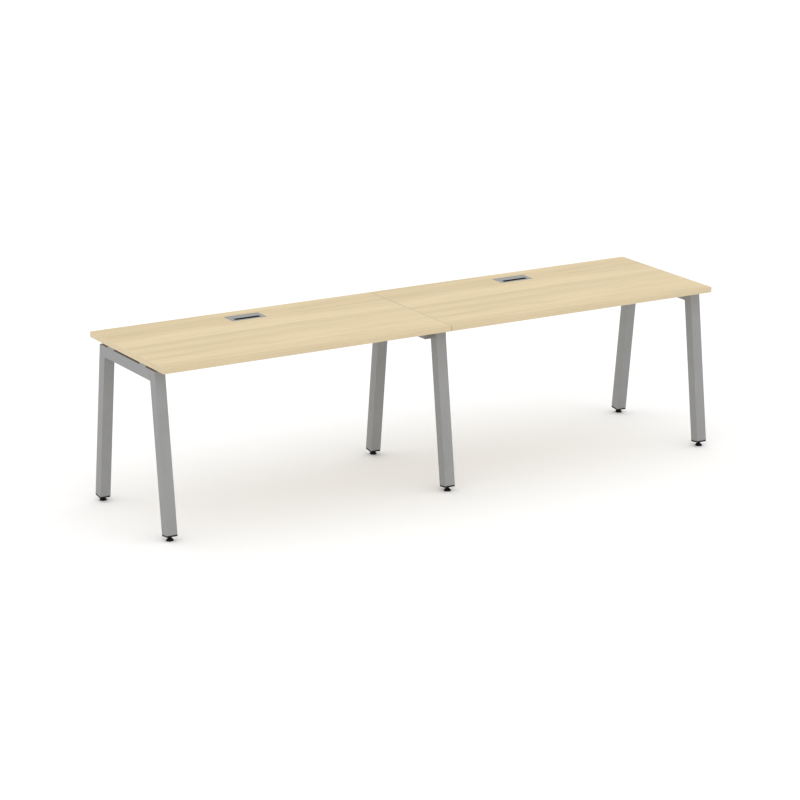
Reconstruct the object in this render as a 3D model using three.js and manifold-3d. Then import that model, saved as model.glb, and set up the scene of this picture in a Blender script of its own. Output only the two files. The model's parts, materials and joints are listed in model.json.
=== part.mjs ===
// A single-sided office workstation for two people: two worktops end to end on three splayed leg frames.
// Millimetres. X runs along the desk, -Y is the user's side and +Z is up. The origin is on the floor at the middle.
import * as THREE from "three";
import { mergeVertices } from "three/addons/utils/BufferGeometryUtils.js";
import Module from "manifold-3d";

// The whole bench
const benchLength = 2800;
const benchDepth = 716;
const worktopTop = 762;

// Worktops: faced board with a thin edging all round, and a hairline seam between the two
const boardThickness = 25;
const edgingThickness = 2;
const seamGap = 1;

// Leg frames of square steel tube, legs splayed front to back, cut level on top and square at the foot
const tubeSize = 50;
const tubeWall = 2;
const tubeCornerRadius = 2.5;
const legTiltDegrees = 7;
const footInset = 5;
const legTopPlate = 3;
const frameInset = 2.3;
const railHeight = 50;
const middleRailWidth = 110;
const weldGap = 0.3;

// Beams under the worktops. A hook at each end lies on a rail and makes the shadow gap above the frames
const beamWidth = 60;
const beamHeight = 40;
const beamWall = 2;
const beamCornerRadius = 2.5;
const beamEdgeDistance = 203;
const beamEndPlate = 4;
const beamEndGap = 0.5;
const hookThickness = 10;
const hookSeam = 10;

// Holes through each beam for the wood screws that hold the worktop
const fixingsPerBeam = 4;
const fixingEndDistance = 120;
const fixingHoleRadius = 3;
const accessHoleRadius = 7;

// Countersunk screws that hold the hooks down, each in a nut welded inside the rail
const screwRadius = 4;
const screwLength = 24;
const screwHeadRadius = 8;
const screwHeadRim = 0.5;
const screwSink = 0.3;
const screwGap = 0.3;
const hexSocketRadius = 2.9;
const hexSocketDepth = 2.8;
const weldNutRadius = 8;
const weldNutHeight = 8;

// Plastic cap in each leg's bottom end, with a threaded steel bush for the levelling foot
const standHeight = 20;
const capFlange = 7;
const capPlugHeight = 22;
const capPlugWall = 3;
const capPlugGap = 0.3;
const bossWall = 3;
const bushRadius = 7;
const bushHeight = 15;
const bushFloor = 2;
const bushGap = 0.1;
const bossTopDepth = 1;
const studGap = 0.3;

// Levelling foot: a threaded stud with a hexagon collar, turning in the socket of a conical pad
const studRadius = 4;
const studTop = 60;
const studChamfer = 0.8;
const collarRadius = 7;
const collarHeight = 3;
const padRadius = 15.8;
const padHeight = 13.5;
const padSoleChamfer = 1.2;
const padRimHeight = 5;
const padNeckRadius = 7.5;
const padSocketDepth = 8;
const padGap = 0.3;
const padShoulderRadiusShare = 0.78;
const padShoulderHeightShare = 0.46;

// Cable flap: a frame let in flush with the worktop, a lid hinged along its back edge, a slot in the lid
const flapLength = 171;
const flapDepth = 88;
const flapBackDistance = 73;
const flapFrameHeight = 8;
const flapRimWidth = 3.6;
const flapLedgeWidth = 6.3;
const flapCornerRadius = 3;
const recessGap = 0.3;
const cutoutMargin = 3;
const lidGap = 0.4;
const lidThickness = 2.6;
const lidLedgeGap = 0.3;
const lidBarrelRadius = 2.8;
const hingeRodRadius = 1.5;
const hingeRodGap = 0.15;
const hingeRodEndInset = 1;
const slotEndDistance = 22;
const slotDepth = 26;
const slotFrontDistance = 14.5;
const trimGap = 0.2;
const trimWall = 2.5;
const trimHeight = 6;
const trimLip = 1.5;
const linerGap = 0.5;
const linerWall = 2;
const linerFlangeWidth = 5;
const linerFlangeHeight = 2;
const linerTopGap = 0.3;

// One overrun for every cut, the tightest corner that is rounded, and the smoothness of round surfaces
const cutOverrun = 5;
const finestCornerRadius = 1;
const cornerSegments = 2;
const holeSegments = 14;
const footSegments = 28;

// Heights and places that follow from the sizes above
const boardUnderside = worktopTop - boardThickness;
const boardLength = (benchLength - seamGap) / 2;
const boardCentreX = (seamGap + boardLength) / 2;
const railTop = boardUnderside - hookThickness;
const railBottom = railTop - railHeight;
const legBottom = standHeight + capFlange;
const legTilt = THREE.MathUtils.degToRad(legTiltDegrees);
const legSlope = Math.tan(legTilt);
const legCosine = Math.cos(legTilt);
const legHalfDepth = tubeSize / 2 / legCosine;
const footCentreY = benchDepth / 2 - footInset - legHalfDepth;
const endFrameX = benchLength / 2 - frameInset - tubeSize / 2;
const beamY = benchDepth / 2 - beamEdgeDistance;
const innerScrewX = (middleRailWidth / 2 + hookSeam / 2) / 2;
const flapCentreY = benchDepth / 2 - flapBackDistance - flapDepth / 2;
const screwHeadHeight = screwHeadRadius - screwRadius + screwHeadRim;
const screwTop = boardUnderside - screwSink;

const wasm = await Module();
wasm.setup();

// The solid that a closed geometry bounds
function solidOf(geometry) {
  const bare = geometry.index ? geometry.toNonIndexed() : geometry.clone();
  bare.deleteAttribute("normal");
  bare.deleteAttribute("uv");
  const merged = mergeVertices(bare);
  return new wasm.Manifold(
    new wasm.Mesh({
      numProp: 3,
      vertProperties: merged.attributes.position.array,
      triVerts: new Uint32Array(merged.index.array),
    }),
  );
}

// Several closed geometries joined into one solid
function join(...geometries) {
  return geometries.map(solidOf).reduce((all, next) => all.add(next));
}

// The geometry of a joined or cut solid
function geometryOf(solid) {
  const mesh = solid.getMesh();
  const geometry = new THREE.BufferGeometry();
  geometry.setAttribute("position", new THREE.BufferAttribute(mesh.vertProperties, 3));
  geometry.setIndex(new THREE.BufferAttribute(mesh.triVerts, 1));
  const faceted = geometry.toNonIndexed();
  faceted.computeVertexNormals();
  return faceted;
}

// A block between two corners
function block(low, high) {
  const size = high.map((value, i) => value - low[i]);
  const middle = low.map((value, i) => value + size[i] / 2);
  return new THREE.BoxGeometry(...size).translate(...middle);
}

// A block of a given length and depth, centred on the origin in plan, between two heights
function centredBlock(length, depth, bottom, top) {
  return block([-length / 2, -depth / 2, bottom], [length / 2, depth / 2, top]);
}

// A rectangle round the origin, with rounded corners unless they would be too tight
function roundedRectangle(width, height, radius) {
  const x = width / 2;
  const y = height / 2;
  const shape = new THREE.Shape();
  if (radius < finestCornerRadius) {
    shape.moveTo(-x, -y).lineTo(x, -y).lineTo(x, y).lineTo(-x, y);
    return shape;
  }
  const quarter = Math.PI / 2;
  shape.moveTo(radius - x, -y);
  shape.absarc(x - radius, radius - y, radius, -quarter, 0);
  shape.absarc(x - radius, y - radius, radius, 0, quarter);
  shape.absarc(radius - x, y - radius, radius, quarter, 2 * quarter);
  shape.absarc(radius - x, radius - y, radius, 2 * quarter, 3 * quarter);
  return shape;
}

// A flat outline carried straight up from one height to another
function prism(shape, bottom, top) {
  const geometry = new THREE.ExtrudeGeometry(shape, {
    depth: top - bottom,
    bevelEnabled: false,
    curveSegments: cornerSegments,
  });
  return geometry.translate(0, 0, bottom);
}

// Turns a prism so that its outline lies across X and its length runs along X
function alongX(geometry) {
  const basis = new THREE.Matrix4().makeBasis(
    new THREE.Vector3(0, 1, 0),
    new THREE.Vector3(0, 0, 1),
    new THREE.Vector3(1, 0, 0),
  );
  return geometry.applyMatrix4(basis);
}

// Where the middle line of a front leg stands at a height. It meets the underside of the cap over the foot
function legMiddleY(height) {
  return legSlope * (height - standHeight) - footCentreY;
}

// Leans an upright prism the way a front leg leans: the further up, the further back from the foot
function leaned(geometry) {
  const lean = new THREE.Matrix4().set(1, 0, 0, 0, 0, 1, legSlope, legMiddleY(0), 0, 0, 1, 0, 0, 0, 0, 1);
  return geometry.applyMatrix4(lean);
}

// All that lies below (or above) a cut made square across a front leg, through its middle line at a height
function pastSquareCut(height, above = false) {
  const reach = 2 * tubeSize;
  const [low, high] = above ? [0, reach] : [-reach, 0];
  const waste = block([-reach, -reach, low], [reach, reach, high]).rotateX(-legTilt);
  return solidOf(waste.translate(0, legMiddleY(height), height));
}

// A round form about the Z axis, from its half outline of radius and height
function turned(outline, segments) {
  const points = outline.map(([radius, height]) => new THREE.Vector2(radius, height));
  return new THREE.LatheGeometry(points, segments).rotateX(Math.PI / 2);
}

// A round bar about the Z axis
function rod(radius, bottom, top, segments) {
  return turned([[0, bottom], [radius, bottom], [radius, top], [0, top]], segments);
}

// A six-sided bar about the Z axis
function hexBar(radius, bottom, top) {
  return rod(radius, bottom, top, 6);
}

function steelPaint() {
  return new THREE.MeshStandardMaterial({ color: 0xa9a9a7, roughness: 0.55, metalness: 0.35 });
}

function laminate() {
  return new THREE.MeshStandardMaterial({ color: 0xe6d3ab, roughness: 0.5, metalness: 0 });
}

function blackPlastic() {
  return new THREE.MeshStandardMaterial({ color: 0x1b1b1c, roughness: 0.55, metalness: 0 });
}

function blackenedSteel() {
  return new THREE.MeshStandardMaterial({ color: 0x232324, roughness: 0.45, metalness: 0.7 });
}

function zincSteel() {
  return new THREE.MeshStandardMaterial({ color: 0x8d9092, roughness: 0.35, metalness: 0.9 });
}

function anodisedAluminium() {
  return new THREE.MeshStandardMaterial({ color: 0xa8a8a6, roughness: 0.4, metalness: 0.8 });
}

// A named mesh of one solid, at a place in its group
function piece(name, solid, material, place = [0, 0, 0]) {
  const mesh = new THREE.Mesh(geometryOf(solid), material);
  mesh.name = name;
  mesh.position.set(...place);
  return mesh;
}

// Level section of a leg, drawn in by an inset from the outside of the tube
function legSection(inset) {
  const width = tubeSize - 2 * inset;
  return roundedRectangle(width, width / legCosine, tubeCornerRadius - inset);
}

// Square tube with a plate welded over its top end, open at the bottom for the cap
function legTube() {
  const outside = leaned(prism(legSection(0), legBottom - cutOverrun, railTop));
  const inside = leaned(prism(legSection(tubeWall), legBottom - 2 * cutOverrun, railTop - legTopPlate));
  return solidOf(outside).subtract(solidOf(inside)).subtract(pastSquareCut(legBottom));
}

// Where the inner face of a leg stands at a height, measured from the middle of the desk
function legInnerY(height) {
  return -legMiddleY(height) - legHalfDepth;
}

// The space between a frame's two legs, between two heights, drawn in at both ends
function betweenLegs(width, bottom, top, inset) {
  const shape = new THREE.Shape();
  shape.moveTo(inset - legInnerY(bottom), bottom);
  shape.lineTo(legInnerY(bottom) - inset, bottom);
  shape.lineTo(legInnerY(top) - inset, top);
  shape.lineTo(inset - legInnerY(top), top);
  return alongX(prism(shape, -width / 2, width / 2));
}

// Cross rail: a closed box section between the leg tops, with welded nuts under its top wall
function crossRail(width, screwPlaces) {
  const reach = legInnerY(railBottom);
  const middle = (railBottom + railTop) / 2;
  const section = roundedRectangle(width, railHeight, tubeCornerRadius);
  const bar = prism(section, -reach, reach).rotateX(Math.PI / 2).translate(0, 0, middle);
  const ends = betweenLegs(width, railBottom, railTop, weldGap);
  const hollow = betweenLegs(
    width - 2 * tubeWall,
    railBottom + tubeWall,
    railTop - tubeWall,
    weldGap + tubeWall,
  );
  const nutTop = railTop - tubeWall / 2;
  const nutBottom = railTop - tubeWall - weldNutHeight;
  const atScrews = (radius, bottom, top) =>
    screwPlaces.map(([x, y]) => rod(radius, bottom, top, holeSegments).translate(x, y, 0));
  const nuts = atScrews(weldNutRadius, nutBottom, nutTop);
  const bores = atScrews(screwRadius + screwGap, nutBottom - cutOverrun, railTop + cutOverrun);
  const tube = solidOf(bar).intersect(solidOf(ends)).subtract(solidOf(hollow));
  return tube.add(join(...nuts)).subtract(join(...bores));
}

// Countersunk form of a hook screw, grown by a gap where it is the hole for that screw
function countersunk(gap, bottom, top) {
  const shoulder = screwTop - screwHeadHeight;
  return turned(
    [
      [0, bottom],
      [screwRadius + gap, bottom],
      [screwRadius + gap, shoulder - gap],
      [screwHeadRadius + gap, screwTop - screwHeadRim - gap],
      [screwHeadRadius + gap, top],
      [0, top],
    ],
    holeSegments,
  );
}

function hookScrew() {
  const socket = hexBar(hexSocketRadius, screwTop - hexSocketDepth, screwTop + cutOverrun);
  return solidOf(countersunk(0, screwTop - screwLength, screwTop)).subtract(solidOf(socket));
}

// A beam from one rail to the next. Ends of its tube and of its hooks are given along X
function beam(tubeStart, tubeEnd, hookStart, hookEnd, screwXs) {
  const middle = boardUnderside - beamHeight / 2;
  const half = beamWidth / 2;
  const section = (inset) =>
    roundedRectangle(beamWidth - 2 * inset, beamHeight - 2 * inset, beamCornerRadius - inset);
  const bar = (inset, start, end) => alongX(prism(section(inset), start, end)).translate(0, 0, middle);
  const hooks = join(
    block([hookStart, -half, railTop], [tubeStart + beamEndPlate, half, boardUnderside]),
    block([tubeEnd - beamEndPlate, -half, railTop], [hookEnd, half, boardUnderside]),
  );
  const hollow = bar(beamWall, tubeStart + beamEndPlate, tubeEnd - beamEndPlate);
  const holes = screwXs.map((x) =>
    countersunk(screwGap, railTop - cutOverrun, boardUnderside + cutOverrun).translate(x, 0, 0),
  );
  const pitch = (tubeEnd - tubeStart - 2 * fixingEndDistance) / (fixingsPerBeam - 1);
  for (let i = 0; i < fixingsPerBeam; i += 1) {
    const x = tubeStart + fixingEndDistance + i * pitch;
    const upper = rod(fixingHoleRadius, middle, boardUnderside + cutOverrun, holeSegments);
    const lower = rod(accessHoleRadius, boardUnderside - beamHeight - cutOverrun, middle, holeSegments);
    holes.push(upper.translate(x, 0, 0), lower.translate(x, 0, 0));
  }
  return solidOf(bar(0, tubeStart, tubeEnd)).add(hooks).subtract(solidOf(hollow)).subtract(join(...holes));
}

// Black cap: a flange that closes the square end of the tube, a plug inside it, and an upright boss for the bush
function legCap() {
  const plugTop = legBottom + capPlugHeight;
  const plugInset = tubeWall + capPlugGap;
  const bossRadius = bushRadius + bushGap + bossWall;
  const pocketBottom = standHeight + bushFloor;
  const bossTop = pocketBottom + bushHeight + bossTopDepth;
  const joinedFrom = legBottom - capFlange / 2;
  const atFoot = (geometry) => geometry.translate(0, -footCentreY, 0);
  const lowest = standHeight - cutOverrun;
  const flange = solidOf(leaned(prism(legSection(0), lowest, legBottom + cutOverrun)))
    .subtract(pastSquareCut(standHeight))
    .subtract(pastSquareCut(legBottom, true));
  const plug = solidOf(leaned(prism(legSection(plugInset), lowest, plugTop)));
  const hollow = solidOf(leaned(prism(legSection(plugInset + capPlugWall), lowest, plugTop + cutOverrun)));
  const boss = atFoot(rod(bossRadius, joinedFrom, bossTop, holeSegments));
  const bore = atFoot(rod(studRadius + studGap, standHeight - cutOverrun, bossTop, holeSegments));
  const pocket = atFoot(rod(bushRadius + bushGap, pocketBottom, bossTop + cutOverrun, holeSegments));
  const walls = plug.subtract(hollow.subtract(pastSquareCut(legBottom))).subtract(pastSquareCut(joinedFrom));
  return walls.add(flange).add(solidOf(boss)).subtract(join(bore, pocket));
}

// Steel bush that the stud screws through
function threadedBush() {
  const bottom = standHeight + bushFloor;
  const top = bottom + bushHeight;
  const bore = studRadius + studGap;
  const outline = [[bore, bottom], [bushRadius, bottom], [bushRadius, top], [bore, top], [bore, bottom]];
  return solidOf(turned(outline, holeSegments));
}

// Threaded stud: its lower end stands in the pad, and the collar takes a spanner
function levellingStud() {
  const bottom = padHeight - padSocketDepth + padGap;
  const collarBottom = padHeight + padGap;
  const stud = turned(
    [
      [0, bottom],
      [studRadius, bottom],
      [studRadius, studTop - studChamfer],
      [studRadius - studChamfer, studTop],
      [0, studTop],
    ],
    holeSegments,
  );
  return join(stud, hexBar(collarRadius, collarBottom, collarBottom + collarHeight));
}

// Conical pad with a flat sole and a socket for the stud
function footPad() {
  const socketRadius = studRadius + padGap;
  const shoulder = padRimHeight + (padHeight - padRimHeight) * padShoulderHeightShare;
  const outline = [
    [0, 0],
    [padRadius - padSoleChamfer, 0],
    [padRadius, padSoleChamfer],
    [padRadius, padRimHeight],
    [padRadius * padShoulderRadiusShare, shoulder],
    [padNeckRadius, padHeight - padSoleChamfer],
    [padNeckRadius, padHeight],
    [socketRadius, padHeight],
    [socketRadius, padHeight - padSocketDepth],
    [0, padHeight - padSocketDepth],
  ];
  return solidOf(turned(outline, footSegments));
}

// A leg with its cap and foot, as the front leg stands. The group turns it about for the back
function legGroup(name, turn) {
  const group = new THREE.Group();
  const foot = [0, -footCentreY, 0];
  group.add(piece(`${name}_leg`, legTube(), steelPaint()));
  group.add(piece(`${name}_leg_cap`, legCap(), blackPlastic()));
  group.add(piece(`${name}_threaded_bush`, threadedBush(), zincSteel(), foot));
  group.add(piece(`${name}_levelling_stud`, levellingStud(), blackenedSteel(), foot));
  group.add(piece(`${name}_foot_pad`, footPad(), blackPlastic(), foot));
  group.rotation.z = turn;
  return group;
}

// One A-shaped frame at a place along the desk
function legFrame(name, x, railWidth, screwPlaces) {
  const frame = new THREE.Group();
  frame.add(legGroup(`${name}_front`, 0));
  frame.add(legGroup(`${name}_back`, Math.PI));
  frame.add(piece(`${name}_rail`, crossRail(railWidth, screwPlaces), steelPaint()));
  frame.position.x = x;
  return frame;
}

// The opening of the flap's frame, and the lid that fills it, in plan
const pocketLength = flapLength - 2 * flapRimWidth;
const pocketDepth = flapDepth - 2 * flapRimWidth;
const lidLength = pocketLength - 2 * lidGap;
const lidDepth = pocketDepth - 2 * lidGap;
const openingLength = pocketLength - 2 * flapLedgeWidth;
const openingDepth = pocketDepth - 2 * flapLedgeWidth;
const slotLength = flapLength - 2 * slotEndDistance;
const cutoutLength = openingLength + 2 * cutoutMargin;
const cutoutDepth = openingDepth + 2 * cutoutMargin;
const hingeY = lidDepth / 2 - lidBarrelRadius;
const hingeZ = worktopTop - lidBarrelRadius;
const slotCentreY = slotFrontDistance + slotDepth / 2 - flapDepth / 2;

// Board with the flap's recess and the hole below it
function board() {
  const length = boardLength - 2 * edgingThickness;
  const depth = benchDepth - 2 * edgingThickness;
  const outline = roundedRectangle(
    flapLength + 2 * recessGap,
    flapDepth + 2 * recessGap,
    flapCornerRadius + recessGap,
  );
  const recess = prism(outline, worktopTop - flapFrameHeight, worktopTop + cutOverrun);
  const hole = centredBlock(cutoutLength, cutoutDepth, boardUnderside - cutOverrun, worktopTop);
  const slab = solidOf(centredBlock(length, depth, boardUnderside, worktopTop));
  return slab.subtract(join(recess.translate(0, flapCentreY, 0), hole.translate(0, flapCentreY, 0)));
}

// Thin band round all four edges of the board
function edging() {
  const length = boardLength - 2 * edgingThickness;
  const depth = benchDepth - 2 * edgingThickness;
  const outer = centredBlock(boardLength, benchDepth, boardUnderside, worktopTop);
  const inner = centredBlock(length, depth, boardUnderside - cutOverrun, worktopTop + cutOverrun);
  return solidOf(outer).subtract(solidOf(inner));
}

// A bar along X at the hinge line
function hingeBar(radius, length, segments) {
  const bar = rod(radius, -length / 2, length / 2, segments).rotateY(Math.PI / 2);
  return bar.translate(0, hingeY, hingeZ);
}

// Cast frame: rim, ledge for the lid, a trough for the lid's barrel and a bore for the rod in both ends
function flapFrame() {
  const bottom = worktopTop - flapFrameHeight;
  const pocketFloor = worktopTop - lidThickness - lidLedgeGap;
  const body = prism(roundedRectangle(flapLength, flapDepth, flapCornerRadius), bottom, worktopTop);
  const pocket = centredBlock(pocketLength, pocketDepth, pocketFloor, worktopTop + cutOverrun);
  const opening = centredBlock(openingLength, openingDepth, bottom - cutOverrun, worktopTop);
  const trough = block(
    [-pocketLength / 2, hingeY - lidBarrelRadius - lidGap, hingeZ - lidBarrelRadius - lidGap],
    [pocketLength / 2, pocketDepth / 2, worktopTop],
  );
  const bore = hingeBar(hingeRodRadius + hingeRodGap, flapLength + cutOverrun, holeSegments);
  return solidOf(body).subtract(join(pocket, opening, trough, bore));
}

// Lid: a plate with a barrel along its back edge and the cable slot near its front edge
function flapLid() {
  const plate = block(
    [-lidLength / 2, -lidDepth / 2, worktopTop - lidThickness],
    [lidLength / 2, hingeY, worktopTop],
  );
  const barrel = hingeBar(lidBarrelRadius, lidLength, footSegments);
  const slot = centredBlock(slotLength, slotDepth, worktopTop - trimHeight, worktopTop + cutOverrun);
  const bore = hingeBar(hingeRodRadius + hingeRodGap, lidLength + cutOverrun, holeSegments);
  return join(plate, barrel).subtract(join(bore, slot.translate(0, slotCentreY, 0)));
}

// Black lining of the slot, held by a lip under the lid
function slotTrim() {
  const bottom = worktopTop - trimHeight;
  const length = slotLength - 2 * trimGap;
  const depth = slotDepth - 2 * trimGap;
  const sleeve = centredBlock(length, depth, bottom, worktopTop);
  const lip = centredBlock(
    slotLength + 2 * trimLip,
    slotDepth + 2 * trimLip,
    bottom,
    worktopTop - lidThickness,
  );
  const hole = centredBlock(
    length - 2 * trimWall,
    depth - 2 * trimWall,
    bottom - cutOverrun,
    worktopTop + cutOverrun,
  );
  return join(sleeve, lip).subtract(solidOf(hole));
}

function hingeRod() {
  return solidOf(hingeBar(hingeRodRadius, flapLength - 2 * hingeRodEndInset, holeSegments));
}

// Black sleeve pushed up into the board from below, with a flange against its underside
function cutoutLiner() {
  const length = cutoutLength - 2 * linerGap;
  const depth = cutoutDepth - 2 * linerGap;
  const top = worktopTop - flapFrameHeight - linerTopGap;
  const bottom = boardUnderside - linerFlangeHeight;
  const sleeve = centredBlock(length, depth, bottom, top);
  const flange = centredBlock(
    cutoutLength + 2 * linerFlangeWidth,
    cutoutDepth + 2 * linerFlangeWidth,
    bottom,
    boardUnderside,
  );
  const hole = centredBlock(
    length - 2 * linerWall,
    depth - 2 * linerWall,
    bottom - cutOverrun,
    top + cutOverrun,
  );
  return join(sleeve, flange).subtract(solidOf(hole));
}

// One worktop with its edging and cable flap
function worktop(name, x) {
  const group = new THREE.Group();
  const flap = new THREE.Group();
  group.add(piece(`${name}_worktop`, board(), laminate()));
  group.add(piece(`${name}_edging`, edging(), laminate()));
  flap.add(piece(`${name}_flap_frame`, flapFrame(), anodisedAluminium()));
  flap.add(piece(`${name}_flap_lid`, flapLid(), anodisedAluminium()));
  flap.add(piece(`${name}_flap_slot_trim`, slotTrim(), blackPlastic(), [0, slotCentreY, 0]));
  flap.add(piece(`${name}_flap_hinge_rod`, hingeRod(), zincSteel()));
  flap.add(piece(`${name}_flap_liner`, cutoutLiner(), blackPlastic()));
  flap.position.y = flapCentreY;
  group.add(flap);
  group.position.x = x;
  return group;
}

// Both beams of one bay with their hook screws. Outer hooks lie on an end rail, inner ones on the middle rail
function bay(name, side) {
  const group = new THREE.Group();
  const inner = middleRailWidth / 2 + beamEndGap;
  const outer = endFrameX - tubeSize / 2 - beamEndGap;
  const [tubeStart, tubeEnd] = side > 0 ? [inner, outer] : [-outer, -inner];
  const hookInner = hookSeam / 2;
  const hookOuter = endFrameX + tubeSize / 2;
  const [hookStart, hookEnd] = side > 0 ? [hookInner, hookOuter] : [-hookOuter, -hookInner];
  const screwXs = [side * innerScrewX, side * endFrameX];
  for (const [place, y] of [["front", -beamY], ["back", beamY]]) {
    const bar = beam(tubeStart, tubeEnd, hookStart, hookEnd, screwXs);
    group.add(piece(`${name}_${place}_beam`, bar, steelPaint(), [0, y, 0]));
    group.add(piece(`${name}_${place}_inner_hook_screw`, hookScrew(), zincSteel(), [screwXs[0], y, 0]));
    group.add(piece(`${name}_${place}_outer_hook_screw`, hookScrew(), zincSteel(), [screwXs[1], y, 0]));
  }
  return group;
}

const endScrews = [[0, -beamY], [0, beamY]];
const middleScrews = [-innerScrewX, innerScrewX].flatMap((x) => [[x, -beamY], [x, beamY]]);

const workstation = new THREE.Group();
workstation.add(legFrame("left", -endFrameX, tubeSize, endScrews));
workstation.add(legFrame("middle", 0, middleRailWidth, middleScrews));
workstation.add(legFrame("right", endFrameX, tubeSize, endScrews));
workstation.add(bay("left", -1));
workstation.add(bay("right", 1));
workstation.add(worktop("left", -boardCentreX));
workstation.add(worktop("right", boardCentreX));

export default workstation;
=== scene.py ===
"""A two-place office workstation: maple-look worktops on splayed steel frames, in a pale studio.

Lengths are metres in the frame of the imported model: X along the desk, -Y the user's side, +Z up.
"""

import json
import math

import bmesh
import bpy
from mathutils import Matrix, Vector

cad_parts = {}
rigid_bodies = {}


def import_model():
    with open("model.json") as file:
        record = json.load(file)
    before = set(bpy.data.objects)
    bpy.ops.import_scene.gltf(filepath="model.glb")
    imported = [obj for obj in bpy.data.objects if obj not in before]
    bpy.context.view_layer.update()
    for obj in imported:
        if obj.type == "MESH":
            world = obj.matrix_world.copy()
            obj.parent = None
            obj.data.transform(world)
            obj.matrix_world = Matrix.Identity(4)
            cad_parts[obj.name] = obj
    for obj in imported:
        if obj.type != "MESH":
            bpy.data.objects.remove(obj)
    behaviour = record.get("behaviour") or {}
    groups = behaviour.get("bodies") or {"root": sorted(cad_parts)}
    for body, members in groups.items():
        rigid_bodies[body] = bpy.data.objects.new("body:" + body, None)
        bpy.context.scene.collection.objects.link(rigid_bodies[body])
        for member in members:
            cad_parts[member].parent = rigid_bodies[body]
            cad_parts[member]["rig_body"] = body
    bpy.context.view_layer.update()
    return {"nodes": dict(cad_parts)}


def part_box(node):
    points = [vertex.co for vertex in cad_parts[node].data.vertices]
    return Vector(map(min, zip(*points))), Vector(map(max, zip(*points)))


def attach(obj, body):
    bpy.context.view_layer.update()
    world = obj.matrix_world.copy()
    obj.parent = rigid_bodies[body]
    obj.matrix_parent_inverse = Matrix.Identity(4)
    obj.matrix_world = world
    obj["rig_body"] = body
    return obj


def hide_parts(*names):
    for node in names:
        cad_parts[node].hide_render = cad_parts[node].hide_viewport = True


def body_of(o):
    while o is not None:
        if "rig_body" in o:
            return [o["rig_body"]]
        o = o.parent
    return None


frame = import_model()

bl_info = {
    "name": "Office Workstation",
    "version": (1, 0, 0),
    "blender": (4, 5, 0),
    "location": "3D View > Sidebar > Workstation",
    "description": "Dresses a two-place bench desk with cable flaps and levelling feet",
    "category": "Object",
}

SIDES = ("left", "right")
FRAMES = ("left", "middle", "right")
ENDS = ("front", "back")
FEET = [f"{side}_{end}" for side in FRAMES for end in ENDS]
MM = 0.001

# Woodgrain: how far its growth bands reach along X, Y and Z on a top and on an edge, and how far its clouds
# do, its streaks and pores as shares of the bands, how much the bands wander, and where the print begins
TOP_BANDS = (2.4, 0.12, 0.12)
EDGE_BANDS = (1.4, 0.36, 0.065)
CLOUD_SPANS = (0.6, 0.33, 0.33)
STREAK_SHARE = 0.085
PORE_SHARE = 0.012
BAND_DISTORTION = 0.8
GRAIN_START = (-16.08, 1.855, -4.62)

# Painted shade in the joint of the two tops, by distance from the middle of the desk, and how strong it is
JOINT_SHADE_FULL = 0.9 * MM
JOINT_SHADE_END = 1.3 * MM
JOINT_SHADE_STRENGTH = 0.75

# Widths of the marks and clouds of the other finishes, how far their tool lines reach along X, Y and Z, and
# how dull the platings are
PEEL_WIDTH = 2.5 * MM
FLAKE_WIDTH = 1.2 * MM
PAINT_CLOUD_WIDTH = 111.1 * MM
MOULD_GRAIN_WIDTH = 0.8 * MM
SCUFF_WIDTH = 11.11 * MM
BRUSHED_LINES = (33 * MM, 0.5 * MM, 0.5 * MM)
TURNED_LINES = (3.3 * MM, 3.3 * MM, 0.25 * MM)
PLATE_CLOUD_WIDTH = 6.25 * MM
FLOOR_MOTTLE_WIDTH = 333.3 * MM
ZINC_ROUGHNESS = 0.34
BLACK_STEEL_ROUGHNESS = 0.38

# What counts as the same point, the same plane, flat and sharp
SAME_POINT = 0.005 * MM
SAME_POLE = 0.001 * MM
SAME_PLANE = 0.01 * MM
FLAT_DEGREES = 0.5
SHARP_DEGREES = 35

# Weld beads: the radius of every second ring and of the ends as a share of the others, and a bead's sides
WELD_RING_SHARE = 0.82
WELD_END_SHARE = 0.5
WELD_SIDES = 10

# Levelling feet: a hexagon collar over the pad, a plain shank below it and a thread from it to the top, with
# the core and the thread stopping short of the top, and the thread's root and crest as shares of its pitch
STUD_RADIUS = 4 * MM
COLLAR_GAP = 0.3 * MM
COLLAR_RADIUS = 7 * MM
COLLAR_SIDES = 6
COLLAR_HEIGHT = 3 * MM
COLLAR_ROUNDING = 0.5 * MM
SHANK_IN_COLLAR = 1 * MM
CORE_STOP = 0.6 * MM
THREAD_STOP = 0.4 * MM
THREAD_SINK = 0.2 * MM
THREAD_ROOT_SHARE = 0.44
THREAD_CREST_SHARE = 0.07
THREAD_STEPS = 20
ROUND_SIDES = 24
PAD_SIDES = 48

# Wood screws: a pan head with a socket, seen up an access hole, its rim all that lies below HEAD_RIM
HEAD_GAP = 0.1 * MM
HEAD_HEIGHT = 2.6 * MM
HEAD_RIM = 2 * MM
HEAD_ROUNDING = 1.1 * MM
SOCKET_WALL = 1.6 * MM
SOCKET_DEPTH = 1.4 * MM

# Access holes in a beam: how far they reach from its middle line, and the least distance between them
HOLE_REACH = 8 * MM
HOLE_SPACING = 20 * MM

# Softening of the boards' cut edges
BOARD_EDGE = 0.1 * MM

# Stage: the floor reaches far past the picture and is a little brighter than white where it is seen
FLOOR_REACH = 60
SEEN_FLOOR = (1.09, 1.09, 1.09)
SOFTBOX_PLACE = (0, -4, 4.5)
SOFTBOX_TILT_DEGREES = 46
SOFTBOX_SIZE = 5
SOFTBOX_WATTS = 20


def linear(code):
    """The linear colour of an sRGB hex code such as 'E6D3AB'."""
    parts = [int(code[i:i + 2], 16) / 255 for i in (0, 2, 4)]
    return tuple(c / 12.92 if c <= 0.04045 else ((c + 0.055) / 1.055) ** 2.4 for c in parts)


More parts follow.
